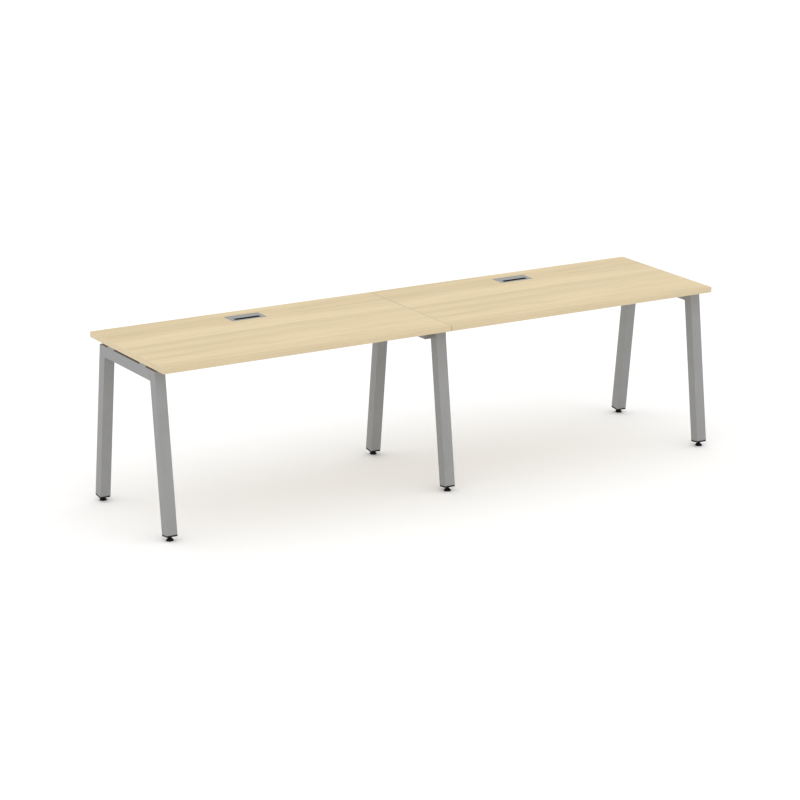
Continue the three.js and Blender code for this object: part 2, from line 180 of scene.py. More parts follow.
def colour(name, description, code):
    """A colour that a user may change, with its default from a hex code."""
    return bpy.props.FloatVectorProperty(
        name=name, description=description, subtype="COLOR", size=3, min=0, max=1, default=linear(code)
    )


def length(name, description, millimetres):
    """A size that a user may change, with its default in millimetres."""
    return bpy.props.FloatProperty(
        name=name, description=description, unit="LENGTH", min=0, precision=5, default=millimetres * MM
    )


class WorkstationColours(bpy.types.PropertyGroup):
    """Colours of the workstation and its studio."""

    maple: colour("Maple", "Ground colour of the worktop laminate", "E3CEA3")
    maple_streak: colour("Maple streak", "Darker growth bands of the laminate", "D2BC8F")
    # The edging's maple is made a little paler than the top's, as painted light that makes up for the weaker
    # light on its upright faces
    maple_edge_with_painted_light: colour("Maple edge", "Ground colour of the edging", "E5D1AB")
    powder: colour("Powder coat", "Silver grey of the steel frames", "9C9C9C")
    aluminium: colour("Aluminium", "Anodised flap frames and lids", "9B9C9D")
    plastic: colour("Black plastic", "Caps, pads, slot trims and liners", "0E0E0F")
    black_steel: colour("Black steel", "Passivated levelling studs", "262627")
    zinc: colour("Zinc", "Plated screws, bushes and hinge rods", "B4B7BA")
    floor: colour("Floor", "Studio floor", "E8E8E6")


class WorkstationSizes(bpy.types.PropertyGroup):
    """Sizes that the solids leave plain."""

    edging_radius: length("Edging radius", "Rounding of the worktop's outer edges", 1.3)
    tube_radius: length("Tube radius", "Outside corner radius of the leg and rail tubes", 1.6)
    tube_wall: length("Tube wall", "Wall thickness of the leg tubes", 2)
    tube_plate: length("Tube plate", "Plate that closes the top of each leg", 3)
    weld_radius: length("Weld radius", "Radius of the weld beads on the frames", 2)
    weld_ripple: length("Weld ripple", "Distance from one ripple of a weld to the next", 1.6)
    thread_pitch: length("Thread pitch", "Rise of the levelling studs' thread in one turn", 1.25)
    thread_depth: length("Thread depth", "Depth of the levelling studs' thread", 0.7)
    softened_edge: length("Softened edge", "Bevel on cut metal and moulded edges", 0.35)
    screw_head: length("Screw head", "Radius of the heads of the worktop's wood screws", 5.2)


# Materials


def add(tree, kind, inputs=None, **settings):
    """Adds a node with its settings. Inputs are socket values, or sockets to link from."""
    made = tree.nodes.new(kind)
    for name, value in settings.items():
        setattr(made, name, value)
    for key, value in (inputs or {}).items():
        if isinstance(value, bpy.types.NodeSocket):
            tree.links.new(value, made.inputs[key])
        else:
            made.inputs[key].default_value = value
    return made


def start_material(name):
    """An empty material and its node tree."""
    material = bpy.data.materials.new(name)
    material.use_nodes = True
    material.node_tree.nodes.clear()
    return material, material.node_tree


def finish_material(tree, shader):
    add(tree, "ShaderNodeOutputMaterial", {"Surface": shader.outputs["BSDF"]})


def rgba(value):
    return (*value, 1.0)


def shaded(tint, share):
    """A plain colour made darker by a share under 1, or paler by one over 1."""
    return tuple(min(1.0, c * share) for c in tint)


def object_place(tree):
    return add(tree, "ShaderNodeTexCoord").outputs["Object"]


def stretched(tree, spans, start=(0, 0, 0)):
    """Object coordinates counted from a start in a span of its own on each axis, so a pattern runs long."""
    moved = add(
        tree,
        "ShaderNodeMapping",
        {"Vector": object_place(tree), "Location": start, "Scale": spans},
        vector_type="TEXTURE",
    )
    return moved.outputs["Vector"]


def graded(tree, value, low, high, start=0.0, end=1.0):
    """A value moved smoothly from one range to another."""
    spread = add(
        tree,
        "ShaderNodeMapRange",
        {"Value": value, "From Min": low, "From Max": high, "To Min": start, "To Max": end},
        interpolation_type="SMOOTHSTEP",
    )
    return spread.outputs["Result"]


def blended(tree, factor, first, second):
    """A colour between two others, by a factor socket. Each colour may be a socket or a plain colour."""
    mix = add(tree, "ShaderNodeMix", data_type="RGBA")
    # The mix node has sockets of one name for each type of data, so its colour ones go by number
    for socket, value in ((mix.inputs[0], factor), (mix.inputs[6], first), (mix.inputs[7], second)):
        if isinstance(value, bpy.types.NodeSocket):
            tree.links.new(value, socket)
        else:
            socket.default_value = rgba(value)
    return mix.outputs[2]


def bumped(tree, height, strength, depth):
    """A fine relief of a height pattern, with its depth."""
    return add(tree, "ShaderNodeBump", {"Height": height, "Strength": strength, "Distance": depth})


def painted_joint_shade(tree, base, shade_colour):
    """A colour darkened close to the joint between the two tops: painted shade in the narrow gap between
    them.
    """
    apart = add(tree, "ShaderNodeSeparateXYZ", {"Vector": object_place(tree)})
    distance = add(tree, "ShaderNodeMath", {0: apart.outputs["X"]}, operation="ABSOLUTE")
    shade_amount = graded(tree, distance.outputs[0], JOINT_SHADE_FULL, JOINT_SHADE_END, start=JOINT_SHADE_STRENGTH, end=0.0)
    return blended(tree, shade_amount, base, shade_colour)


def maple_laminate(name, ground, streak, bands, start):
    """Maple woodgrain melamine laminate: a printed paper under a satin film.

    The print has slow growth bands, streaks about a centimetre wide inside them, and short fine pores.
    The film gives an even, low gloss with hardly any relief. Bands is how far the growth bands reach along
    X, Y and Z, so that the grain can follow a top or an edge, and start is where the print begins.
    """
    material, tree = start_material(name)
    band_noise = add(
        tree,
        "ShaderNodeTexNoise",
        {"Vector": stretched(tree, bands, start), "Scale": 1.0, "Detail": 2.0, "Roughness": 0.5,
         "Distortion": BAND_DISTORTION},
    )
    streaks = add(
        tree,
        "ShaderNodeTexNoise",
        {"Vector": stretched(tree, [b * STREAK_SHARE for b in bands], start), "Scale": 1.0, "Detail": 3.0,
         "Roughness": 0.55, "Distortion": 0.25},
    )
    pores = add(
        tree,
        "ShaderNodeTexNoise",
        {"Vector": stretched(tree, [b * PORE_SHARE for b in bands], start), "Scale": 1.0, "Detail": 1.5,
         "Roughness": 0.6},
    )
    clouds = add(
        tree,
        "ShaderNodeTexNoise",
        {"Vector": stretched(tree, CLOUD_SPANS, start), "Scale": 1.0, "Detail": 1.0},
    )
    banded = blended(tree, graded(tree, band_noise.outputs["Fac"], 0.3, 0.7), ground, streak)
    darker = shaded(streak, 0.86)
    lined = blended(tree, graded(tree, streaks.outputs["Fac"], 0.5, 0.74, end=0.36), banded, darker)
    pored = blended(tree, graded(tree, pores.outputs["Fac"], 0.56, 0.8, end=0.3), lined, darker)
    light = shaded(ground, 1.05)
    cloudy = blended(tree, graded(tree, clouds.outputs["Fac"], 0.35, 0.75, end=0.25), pored, light)
    # Painted shade: the colour is darker close to the joint between the two tops
    with_joint_shade = painted_joint_shade(tree, cloudy, shaded(streak, 0.3))
    sheen = graded(tree, streaks.outputs["Fac"], 0.3, 0.7, start=0.44, end=0.52)
    relief = bumped(tree, pores.outputs["Fac"], 0.05, 0.4 * MM)
    shader = add(
        tree,
        "ShaderNodeBsdfPrincipled",
        {"Base Color": with_joint_shade, "Roughness": sheen, "Normal": relief.outputs["Normal"], "IOR": 1.5},
    )
    finish_material(tree, shader)
    return material


def powder_coat(tint):
    """Silver-grey polyester powder coat, baked on steel.

    The melted powder leaves a soft orange peel, and its fine aluminium flake a slight sheen. The real peel
    is about 1 mm across, too fine to show, so it is drawn 2.5 mm across.
    """
    material, tree = start_material("silver_grey_powder_coat")
    place = object_place(tree)
    peel = add(tree, "ShaderNodeTexNoise", {"Vector": place, "Scale": 1 / PEEL_WIDTH, "Detail": 1.0})
    flake = add(tree, "ShaderNodeTexVoronoi", {"Vector": place, "Scale": 1 / FLAKE_WIDTH})
    cloud = add(tree, "ShaderNodeTexNoise", {"Vector": place, "Scale": 1 / PAINT_CLOUD_WIDTH, "Detail": 2.0})
    clouded = graded(tree, cloud.outputs["Fac"], 0.35, 0.65)
    base = blended(tree, clouded, shaded(tint, 0.975), shaded(tint, 1.025))
    glint = blended(tree, graded(tree, flake.outputs["Color"], 0.8, 1.0, end=0.14), base, (0.8, 0.8, 0.8))
    relief = bumped(tree, peel.outputs["Fac"], 0.12, 0.5 * MM)
    sheen = graded(tree, cloud.outputs["Fac"], 0.3, 0.7, start=0.44, end=0.52)
    shader = add(
        tree,
        "ShaderNodeBsdfPrincipled",
        {"Base Color": glint, "Metallic": 0.15, "Roughness": sheen, "Normal": relief.outputs["Normal"],
         "Specular IOR Level": 0.25},
    )
    finish_material(tree, shader)
    return material


def anodised_aluminium(tint):
    """Die-cast and extruded aluminium, brushed along the flap and anodised satin silver.

    Brushing leaves lines about 0.2 mm apart along X, drawn 0.5 mm apart here, that stretch the highlights.
    """
    material, tree = start_material("satin_anodised_aluminium")
    lines = add(
        tree,
        "ShaderNodeTexNoise",
        {"Vector": stretched(tree, BRUSHED_LINES), "Scale": 1.0, "Detail": 2.0},
    )
    relief = bumped(tree, lines.outputs["Fac"], 0.12, 0.1 * MM)
    sheen = graded(tree, lines.outputs["Fac"], 0.3, 0.7, start=0.36, end=0.48)
    base = blended(tree, graded(tree, lines.outputs["Fac"], 0.35, 0.65), shaded(tint, 0.9), tint)
    shader = add(
        tree,
        "ShaderNodeBsdfPrincipled",
        {"Base Color": base, "Metallic": 0.85, "Roughness": sheen, "Normal": relief.outputs["Normal"]},
    )
    finish_material(tree, shader)
    return material


def moulded_polypropylene(tint):
    """Black polypropylene from a spark-eroded mould: a fine dull grain with a little greasy sheen.

    The grain is about 0.3 mm across, drawn 0.8 mm across so that it shows close by.
    """
    material, tree = start_material("black_moulded_polypropylene")
    place = object_place(tree)
    grain = add(tree, "ShaderNodeTexNoise", {"Vector": place, "Scale": 1 / MOULD_GRAIN_WIDTH, "Detail": 2.0})
    scuff = add(tree, "ShaderNodeTexNoise", {"Vector": place, "Scale": 1 / SCUFF_WIDTH, "Detail": 3.0})
    scuffed = graded(tree, scuff.outputs["Fac"], 0.45, 0.75, end=0.5)
    base = blended(tree, scuffed, tint, shaded(tint, 1.5))
    relief = bumped(tree, grain.outputs["Fac"], 0.2, 0.2 * MM)
    sheen = graded(tree, scuff.outputs["Fac"], 0.3, 0.7, start=0.5, end=0.62)
    shader = add(
        tree,
        "ShaderNodeBsdfPrincipled",
        {"Base Color": base, "Roughness": sheen, "Normal": relief.outputs["Normal"], "IOR": 1.49,
         "Specular IOR Level": 0.25},
    )
    finish_material(tree, shader)
    return material


def plated_steel(name, tint, dull):
    """Machined steel with a thin passivated plating: fine turning lines round it and a cloudy gloss."""
    material, tree = start_material(name)
    lines = add(
        tree,
        "ShaderNodeTexNoise",
        {"Vector": stretched(tree, TURNED_LINES), "Scale": 1.0, "Detail": 1.0},
    )
    place = object_place(tree)
    cloud = add(tree, "ShaderNodeTexNoise", {"Vector": place, "Scale": 1 / PLATE_CLOUD_WIDTH, "Detail": 3.0})
    base = blended(tree, graded(tree, cloud.outputs["Fac"], 0.35, 0.7), shaded(tint, 0.82), tint)
    relief = bumped(tree, lines.outputs["Fac"], 0.1, 0.1 * MM)
    sheen = graded(tree, cloud.outputs["Fac"], 0.3, 0.7, start=dull - 0.06, end=dull + 0.08)
    shader = add(
        tree,
        "ShaderNodeBsdfPrincipled",
        {"Base Color": base, "Metallic": 1.0, "Roughness": sheen, "Normal": relief.outputs["Normal"]},
    )
    finish_material(tree, shader)
    return material


def seen_rays(tree):
    """One for rays by which a thing is seen, straight, in gloss or through glass, and zero for others."""
    path = add(tree, "ShaderNodeLightPath")
    seen = path.outputs["Is Camera Ray"]
    for kind in ("Is Glossy Ray", "Is Transmission Ray"):
        seen = add(tree, "ShaderNodeMath", {0: seen, 1: path.outputs[kind]}, operation="MAXIMUM").outputs[0]
    return seen


def shared_material(name, make):
    """The material of that name, made the first time that it is asked for."""
    return bpy.data.materials.get(name) or make()


def frame_paint(colours):
    return shared_material("silver_grey_powder_coat", lambda: powder_coat(colours.powder))


def black_plastic(colours):
    return shared_material("black_moulded_polypropylene", lambda: moulded_polypropylene(colours.plastic))


def zinc_plate(colours):
    name = "bright_zinc_plate"
    return shared_material(name, lambda: plated_steel(name, colours.zinc, ZINC_ROUGHNESS))


# Meshes


def merged_copy(node):
    """A bmesh of a node's solid with its loose triangles merged and its flat faces whole."""
    bm = bmesh.new()
    bm.from_mesh(frame["nodes"][node].data)
    bmesh.ops.remove_doubles(bm, verts=bm.verts, dist=SAME_POINT)
    bmesh.ops.dissolve_limit(bm, angle_limit=math.radians(FLAT_DEGREES), verts=bm.verts, edges=bm.edges)
    return bm


def sharp_edges(bm, least=SHARP_DEGREES):
    """Edges where two faces meet at more than a given angle in degrees."""
    limit = math.radians(least)
    return [edge for edge in bm.edges if len(edge.link_faces) == 2 and edge.calc_face_angle(0) > limit]


def bevel(bm, edges, width, segments):
    bmesh.ops.bevel(
        bm,
        geom=edges,
        offset=width,
        offset_type="OFFSET",
        affect="EDGES",
        segments=segments,
        profile=0.5,
        material=-1,
        clamp_overlap=True,
    )


def new_piece(bm, name, body, material, replaced=()):
    """Makes a finished bmesh a piece that rides on a body and stands for the nodes that it replaces."""
    mesh = bpy.data.meshes.new(name)
    bm.to_mesh(mesh)
    bm.free()
    mesh.shade_smooth()
    mesh.set_sharp_from_angle(angle=math.radians(SHARP_DEGREES))
    mesh.materials.append(material)
    piece = bpy.data.objects.new(name, mesh)
    bpy.context.scene.collection.objects.link(piece)
    shading = piece.modifiers.new("even_shading", "WEIGHTED_NORMAL")
    shading.keep_sharp = True
    shading.weight = 100
    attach(piece, body)
    if replaced:
        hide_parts(*replaced)


def softened_copy(node, suffix, width, material, segments=2):
    """A node's own shape with its sharp edges bevelled, in place of the node."""
    bm = merged_copy(node)
    bevel(bm, sharp_edges(bm), width, segments)
    body = body_of(frame["nodes"][node])[0]
    new_piece(bm, f"{node}_{suffix}", body, material, [node])


def repaint(node, material):
    """Gives a node that stays as it is its own finish."""
    mesh = frame["nodes"][node].data
    mesh.materials.clear()
    mesh.materials.append(material)


def rounded_section(bm, size_x, size_y, radius, segments=6):
    """A flat rectangle at the origin whose corners are rounded. Returns its face."""
    bmesh.ops.create_grid(bm, x_segments=1, y_segments=1, size=0.5)
    bmesh.ops.scale(bm, vec=(size_x, size_y, 1), verts=bm.verts)
    bmesh.ops.bevel(
        bm,
        geom=list(bm.verts),
        offset=radius,
        offset_type="OFFSET",
        affect="VERTICES",
        segments=segments,
        profile=0.5,
        material=-1,
    )
    return next(iter(bm.faces))


def extruded(bm, face, height):
    """Makes a bar of a flat face by carrying a copy of it up by a height."""
    made = bmesh.ops.extrude_face_region(bm, geom=[face])
    top = [item for item in made["geom"] if isinstance(item, bmesh.types.BMVert)]
    bmesh.ops.translate(bm, vec=(0, 0, height), verts=top)


def hollowed(bm, face, wall, depth):
    """Hollows a piece from a face on its underside: keeps a wall round it and carries the rest up."""
    bmesh.ops.inset_region(bm, faces=[face], thickness=wall, use_even_offset=True)
    made = bmesh.ops.extrude_face_region(bm, geom=[face])
    inner = [item for item in made["geom"] if isinstance(item, bmesh.types.BMVert)]
    bmesh.ops.translate(bm, vec=(0, 0, depth), verts=inner)
    bmesh.ops.delete(bm, geom=[face], context="FACES_ONLY")


def leg_shape(leg):
    """Section, middle line and heights of a leg, from its solid. The foot is cut square across the lean."""
    low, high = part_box(leg)
    width = high.x - low.x
    side = -1 if low.y < 0 else 1
    points = [v.co for v in frame["nodes"][leg].data.vertices]
    corner = max(points, key=lambda p: (round(side * p.y, 5), -p.z))
    tops = [p.y for p in points if abs(p.z - high.z) < SAME_PLANE]
    depth = max(tops) - min(tops)
    foot_y = corner.y - side * depth / 2
    top_y = (max(tops) + min(tops)) / 2
    slope = (top_y - foot_y) / (high.z - corner.z)
    return {"x": (low.x + high.x) / 2, "width": width, "depth": depth, "foot_y": foot_y, "slope": slope,
            "corner": corner.z, "cut": (low.z + corner.z) / 2, "top": high.z, "side": side}


def leg_tube(leg, sizes):
    """A square tube with round corners, leaned to its place, cut square below and closed by a plate on top.

    It is made upright with a level foot and then sheared, and its foot's points slide along the tube until
    the cut is square to it.
    """
    shape = leg_shape(leg)
    bm = bmesh.new()
    face = rounded_section(bm, shape["width"], shape["depth"], sizes.tube_radius)
    height = shape["top"] - shape["cut"]
    extruded(bm, face, height)
    bmesh.ops.recalc_face_normals(bm, faces=bm.faces)
    top_rim = [e for e in sharp_edges(bm, least=60) if all(v.co.z > height / 2 for v in e.verts)]
    bevel(bm, top_rim, sizes.softened_edge * 2, segments=3)
    foot_end = min(bm.faces, key=lambda f: f.calc_center_median().z)
    hollowed(bm, foot_end, sizes.tube_wall, height - sizes.tube_plate)
    bmesh.ops.recalc_face_normals(bm, faces=bm.faces)
    foot = [v for v in bm.verts if v.co.z < SAME_PLANE]
    slope, middle = shape["slope"], middle_y(shape, shape["cut"])
    lean = Matrix.Identity(4)
    lean[1][2] = slope
    place = Matrix.Translation((shape["x"], middle, shape["cut"]))
    bmesh.ops.transform(bm, matrix=place @ lean, verts=bm.verts)
    for vert in foot:
        rise = -slope * (vert.co.y - middle) / (1 + slope ** 2)
        vert.co += Vector((0, slope * rise, rise))
    return bm


def middle_y(shape, height):
    """Where the middle line of a leg stands at a height."""
    return shape["foot_y"] + shape["slope"] * (height - shape["corner"])


def inner_face_y(shape, height):
    """Where the inner face of a leg stands at a height."""
    return middle_y(shape, height) - shape["side"] * shape["depth"] / 2


def rail_bar(side, sizes):
    """A box rail with round corners whose ends meet the two leaning legs."""
    low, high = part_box(f"{side}_rail")
    bm = bmesh.new()
    face = rounded_section(bm, high.x - low.x, high.z - low.z, sizes.tube_radius)
    unset_length = 1.0
    extruded(bm, face, unset_length)
    bmesh.ops.recalc_face_normals(bm, faces=bm.faces)
    lay_down = Matrix.Rotation(math.radians(90), 4, "X")
    bmesh.ops.transform(bm, matrix=lay_down, verts=bm.verts)
    bmesh.ops.translate(bm, vec=((low.x + high.x) / 2, 0, (low.z + high.z) / 2), verts=bm.verts)
    front, back = (leg_shape(f"{side}_{end}_leg") for end in ENDS)
    for vert in bm.verts:
        vert.co.y = inner_face_y(front if vert.co.y < -unset_length / 2 else back, vert.co.z)
    return bm


def spun(bm, profile, place, steps):
    """Turns a profile of radius and height pairs round Z and puts it in its place."""
    points = [bm.verts.new((radius, 0, height)) for radius, height in profile]
    edges = [bm.edges.new(pair) for pair in zip(points, points[1:])]
    before = set(bm.verts) - set(points)
    bmesh.ops.spin(
        bm,
        geom=points + edges,
        cent=(0, 0, 0),
        axis=(0, 0, 1),
        dvec=(0, 0, 0),
        angle=2 * math.pi,
        steps=steps,
        use_merge=True,
    )
    made = [v for v in bm.verts if v not in before]
    bmesh.ops.remove_doubles(bm, verts=made, dist=SAME_POLE)
    made = [v for v in bm.verts if v not in before]
    bmesh.ops.transform(bm, matrix=place, verts=made)


def weld_bead(bm, start, end, sizes):
    """A rippled bead of weld along a line: a bar whose every second ring is drawn in, with blunt ends."""
    run = Vector(end) - Vector(start)
    rings = 2 * max(2, round(run.length / sizes.weld_ripple / 2))
    heights = [run.length * ring / rings for ring in range(rings + 1)]
    radii = [sizes.weld_radius * (WELD_RING_SHARE if ring % 2 else 1.0) for ring in range(rings + 1)]
    radii[0] = radii[-1] = sizes.weld_radius * WELD_END_SHARE
    profile = [(0, 0), *zip(radii, heights), (0, run.length)]
    turn = run.to_track_quat("Z", "Y").to_matrix().to_4x4()
    spun(bm, profile, Matrix.Translation(start) @ turn, WELD_SIDES)


def frame_welds(side, sizes):
    """Beads where a rail meets its two legs, left off the flush outer faces, which are ground smooth."""
    bm = bmesh.new()
    low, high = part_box(f"{side}_rail")
    for end in ENDS:
        shape = leg_shape(f"{side}_{end}_leg")
        reach = shape["width"] / 2 - 2 * sizes.tube_radius
        left, right = shape["x"] - reach, shape["x"] + reach
        for height in (low.z, high.z):
            y = inner_face_y(shape, height)
            weld_bead(bm, (left, y, height), (right, y, height), sizes)
        bottom, top = low.z + sizes.tube_radius, high.z - sizes.tube_radius
        inner_sides = {"left": (1,), "middle": (-1, 1), "right": (-1,)}[side]
        for way in inner_sides:
            x = shape["x"] + way * shape["width"] / 2
            line = [(x, inner_face_y(shape, height), height) for height in (bottom, top)]
            weld_bead(bm, *line, sizes)
    bmesh.ops.recalc_face_normals(bm, faces=bm.faces)
    return bm


def round_bar(bm, radius, bottom, top, segments, centre=(0, 0)):
    """An upright bar. Returns its vertices."""
    place = Matrix.Translation((centre[0], centre[1], (bottom + top) / 2))
    made = bmesh.ops.create_cone(
        bm,
        cap_ends=True,
        segments=segments,
        radius1=radius,
        radius2=radius,
        depth=top - bottom,
        matrix=place,
    )
    return made["verts"]


def edges_of(verts):
    """The edges that meet at some vertices, each once."""
    return list(dict.fromkeys(edge for vert in verts for edge in vert.link_edges))


def threaded_stud(foot, sizes):
    """An M8 levelling stud: core, rolled thread, and a hexagon collar with rounded corners."""
    low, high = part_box(f"{foot}_levelling_stud")
    pad_low, pad_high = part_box(f"{foot}_foot_pad")
    centre = ((pad_low.x + pad_high.x) / 2, (pad_low.y + pad_high.y) / 2)
    core = STUD_RADIUS - sizes.thread_depth
    collar_bottom = pad_high.z + COLLAR_GAP
    collar_top = collar_bottom + COLLAR_HEIGHT
    bm = bmesh.new()
    round_bar(bm, core, low.z, high.z - CORE_STOP, ROUND_SIDES, centre)
    round_bar(bm, STUD_RADIUS, low.z, collar_bottom + SHANK_IN_COLLAR, ROUND_SIDES, centre)
    collar = round_bar(bm, COLLAR_RADIUS, collar_bottom, collar_top, COLLAR_SIDES, centre)
    bevel(bm, edges_of(collar), COLLAR_ROUNDING, segments=2)
    pitch = sizes.thread_pitch
    turns = (high.z - THREAD_STOP - collar_top - pitch) / pitch
    steps = round(turns * THREAD_STEPS)
    root = core - THREAD_SINK
    corners = [(root, -THREAD_ROOT_SHARE), (STUD_RADIUS, -THREAD_CREST_SHARE),
               (STUD_RADIUS, THREAD_CREST_SHARE), (root, THREAD_ROOT_SHARE)]
    ring = [bm.verts.new((centre[0] + r, centre[1], collar_top + (0.5 + h) * pitch)) for r, h in corners]
    bmesh.ops.spin(
        bm,
        geom=[bm.faces.new(ring)],
        cent=(centre[0], centre[1], 0),
        axis=(0, 0, 1),
        dvec=(0, 0, turns * pitch / steps),
        angle=2 * math.pi * turns,
        steps=steps,
        use_merge=False,
    )
    bmesh.ops.recalc_face_normals(bm, faces=bm.faces)
    return bm


def conical_pad(foot):
    """A moulded pad: a flat sole, a short rim, a hollow flank up to a round neck, and a socket."""
    low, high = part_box(f"{foot}_foot_pad")
    width, height = (high.x - low.x) / 2, high.z - low.z
    sole_and_rim = [(0, 0), (0.92, 0), (0.965, 0.02), (0.99, 0.06), (1, 0.11), (1, 0.34)]
    flank = [(0.99, 0.385), (0.96, 0.43), (0.91, 0.49), (0.85, 0.56), (0.78, 0.645), (0.71, 0.73)]
    neck = [(0.635, 0.8), (0.57, 0.86), (0.52, 0.9), (0.49, 0.945), (0.475, 0.98), (0.45, 1)]
    socket = [(0.3, 1), (0.285, 0.985), (0.285, 0.41), (0, 0.41)]
    shares = sole_and_rim + flank + neck + socket
    profile = [(radius * width, rise * height) for radius, rise in shares]
    bm = bmesh.new()
    place = Matrix.Translation(((low.x + high.x) / 2, (low.y + high.y) / 2, low.z))
    spun(bm, profile, place, PAD_SIDES)
    bmesh.ops.recalc_face_normals(bm, faces=bm.faces)
    return bm


def wood_screws(beam, sizes):
    """Pan-headed screws that hold a worktop, seen up the access holes in the bottom of a beam."""
    low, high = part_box(beam)
    middle = (low.y + high.y) / 2
    seat = high.z - sizes.tube_wall
    bm = bmesh.new()
    for x in access_holes(beam):
        head = round_bar(bm, sizes.screw_head, seat - HEAD_HEIGHT, seat - HEAD_GAP, ROUND_SIDES, (x, middle))
        rim = [e for e in edges_of(head) if all(v.co.z < seat - HEAD_RIM for v in e.verts)]
        bevel(bm, rim, HEAD_ROUNDING, segments=3)
        near = [f for f in bm.faces if abs(f.calc_center_median().x - x) < sizes.screw_head]
        crown = min(near, key=lambda f: f.calc_center_median().z)
        hollowed(bm, crown, SOCKET_WALL, SOCKET_DEPTH)
    bmesh.ops.recalc_face_normals(bm, faces=bm.faces)
    return bm


def access_holes(beam):
    """Places along X of the round holes in a beam's bottom wall."""
    low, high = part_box(beam)
    rims = sorted(
        v.co.x
        for v in frame["nodes"][beam].data.vertices
        if abs(v.co.z - low.z) < SAME_PLANE and abs(v.co.y - (low.y + high.y) / 2) < HOLE_REACH
    )
    groups = [[rims[0]]]
    for x in rims[1:]:
        if x - groups[-1][-1] > HOLE_SPACING:
            groups.append([])
        groups[-1].append(x)
    return [(g[0] + g[-1]) / 2 for g in groups]


# Operators


def chosen(context):
    """The colours and the sizes in use."""
    return context.scene.workstation_colours, context.scene.workstation_sizes


class WORKSTATION_OT_worktops(bpy.types.Operator):
    """Makes the two worktops and the edging round them"""

    bl_idname = "workstation.worktops"
    bl_label = "Worktops"

    def execute(self, context):
        colours, sizes = chosen(context)
        # The edging's ground and streaks are painted paler than the top's, to make up for the weaker light
        # on upright faces
        edge_streak_with_painted_light = shaded(colours.maple_edge_with_painted_light, 0.92)
        for side in SIDES:
            start = Vector((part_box(f"{side}_edging")[0].x, 0, 0)) + Vector(GRAIN_START)
            name = f"{side}_maple_laminate"
            top = maple_laminate(name, colours.maple, colours.maple_streak, TOP_BANDS, start)
            name = f"{side}_maple_edging_with_painted_light"
            edge = maple_laminate(name, colours.maple_edge_with_painted_light, edge_streak_with_painted_light, EDGE_BANDS, start)
            softened_copy(f"{side}_worktop", "board", BOARD_EDGE, top, segments=1)
            bm = merged_copy(f"{side}_edging")
            low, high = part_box(f"{side}_edging")
            outer = [e for e in sharp_edges(bm) if self.is_outside(e, low, high)]
            bevel(bm, outer, sizes.edging_radius, segments=4)
            new_piece(bm, f"{side}_edge_band", "bench", edge, [f"{side}_edging"])
        return {"FINISHED"}

    @staticmethod
    def is_outside(edge, low, high):
        """Whether an edge lies on the outside of the band, not along its inner wall."""
        for vert in edge.verts:
            x, y = vert.co.x, vert.co.y
            if min(abs(x - low.x), abs(x - high.x), abs(y - low.y), abs(y - high.y)) >= SAME_PLANE:
                return False
        return True


class WORKSTATION_OT_leg_frames(bpy.types.Operator):
    """Makes the legs, the cross rails and the welds that join them"""

    bl_idname = "workstation.leg_frames"
    bl_label = "Leg Frames"

    def execute(self, context):
        colours, sizes = chosen(context)
        paint = frame_paint(colours)
        for foot in FEET:
            leg = f"{foot}_leg"
            new_piece(leg_tube(leg, sizes), f"{leg}_tube", "bench", paint, [leg])
        for side in FRAMES:
            rail = f"{side}_rail"
            new_piece(rail_bar(side, sizes), f"{rail}_bar", "bench", paint, [rail])
            new_piece(frame_welds(side, sizes), f"{side}_frame_welds", "bench", paint)
        return {"FINISHED"}


class WORKSTATION_OT_beams(bpy.types.Operator):
    """Makes the beams under the worktops, their hook screws and the wood screws inside them"""

    bl_idname = "workstation.beams"
    bl_label = "Beams"

    def execute(self, context):
        colours, sizes = chosen(context)
        paint = frame_paint(colours)
        zinc = zinc_plate(colours)
        for side in SIDES:
            for end in ENDS:
                beam = f"{side}_{end}_beam"
                softened_copy(beam, "tube", sizes.softened_edge, paint)
                screws = wood_screws(beam, sizes)
                new_piece(screws, f"{side}_{end}_wood_screws", "bench", zinc)
                for place in ("inner", "outer"):
                    repaint(f"{side}_{end}_{place}_hook_screw", zinc)
        return {"FINISHED"}


class WORKSTATION_OT_leg_caps(bpy.types.Operator):
    """Makes the black caps in the legs and finishes the threaded bushes in them"""

    bl_idname = "workstation.leg_caps"
    bl_label = "Leg Caps"

    def execute(self, context):
        colours, sizes = chosen(context)
        plastic = black_plastic(colours)
        zinc = zinc_plate(colours)
        for foot in FEET:
            softened_copy(f"{foot}_leg_cap", "moulding", sizes.softened_edge, plastic)
            repaint(f"{foot}_threaded_bush", zinc)
        return {"FINISHED"}


class WORKSTATION_OT_levelling_feet(bpy.types.Operator):
    """Makes the threaded studs and the conical pads that they turn in"""

    bl_idname = "workstation.levelling_feet"
    bl_label = "Levelling Feet"

    def execute(self, context):
        colours, sizes = chosen(context)
        plastic = black_plastic(colours)
        steel = plated_steel("black_passivated_steel", colours.black_steel, BLACK_STEEL_ROUGHNESS)
        for foot in FEET:
            stud, pad = f"{foot}_levelling_stud", f"{foot}_foot_pad"
            thread = threaded_stud(foot, sizes)
            new_piece(thread, f"{foot}_thread", f"{foot}_stud", steel, [stud])
            new_piece(conical_pad(foot), f"{foot}_glide", f"{foot}_pad", plastic, [pad])
        return {"FINISHED"}


class WORKSTATION_OT_cable_flaps(bpy.types.Operator):
    """Makes the cable flaps: frame, lid, slot trim, hinge rod and liner"""

    bl_idname = "workstation.cable_flaps"
    bl_label = "Cable Flaps"

    def execute(self, context):
        colours, sizes = chosen(context)
        plastic = black_plastic(colours)
        zinc = zinc_plate(colours)
        metal = anodised_aluminium(colours.aluminium)
        soft = sizes.softened_edge
        for side in SIDES:
            softened_copy(f"{side}_flap_frame", "casting", soft, metal)
            softened_copy(f"{side}_flap_lid", "plate", soft, metal)
            softened_copy(f"{side}_flap_slot_trim", "moulding", soft, plastic)
            softened_copy(f"{side}_flap_liner", "moulding", soft, plastic)
            repaint(f"{side}_flap_hinge_rod", zinc)
        return {"FINISHED"}


